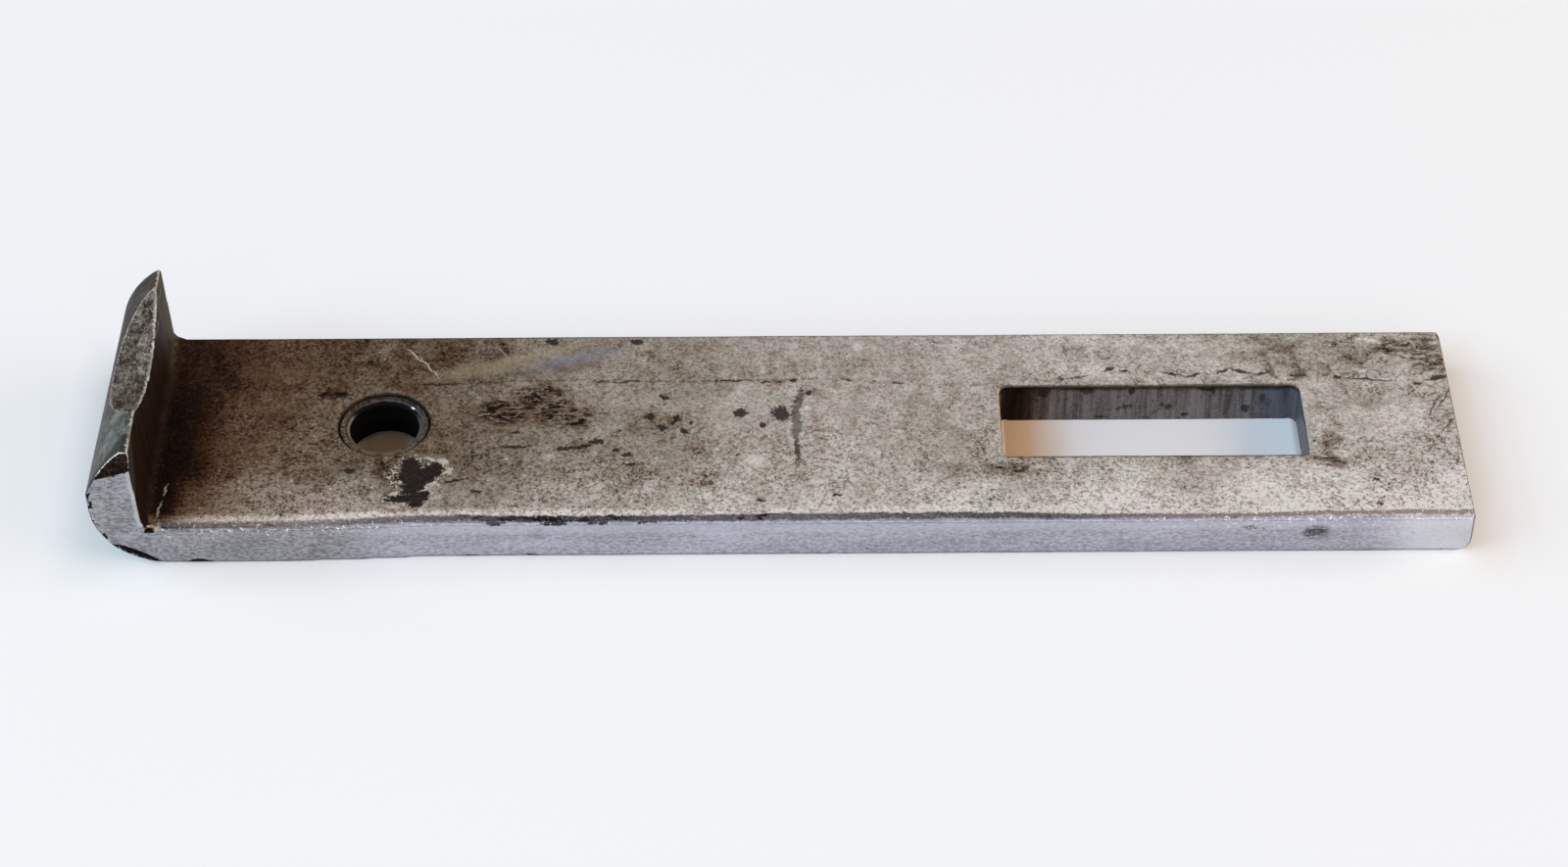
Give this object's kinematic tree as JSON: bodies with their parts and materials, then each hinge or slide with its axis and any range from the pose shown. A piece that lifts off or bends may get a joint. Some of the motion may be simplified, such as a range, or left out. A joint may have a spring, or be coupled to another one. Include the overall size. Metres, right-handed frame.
{
  "type": "latch bar",
  "caption": "Flat steel latch bar with one end turned up into a bevelled claw, a bushed pivot hole beside the claw and a long slot for a bolt towards the plain end.",
  "frame": {"origin": "on the pivot axis, at mid-thickness of the bar", "axes": "+X along the bar to its slotted end, with the claw at -X; +Y across the bar to its far side; +Z along the pivot axis to the side on which the claw stands"},
  "size_m": [0.1871, 0.0389, 0.0194],
  "materials": {
    "bar_steel": "worn and finely pitted steel, stained dark brown at the claw, with satin grey sides and burnished edges",
    "bush_steel": "dark oiled steel, polished at the mouth of the bore"
  },
  "bodies": {
    "root": {"latch_bar": "bar_steel", "pivot_bush": "bush_steel"}
  },
  "joints": []
}
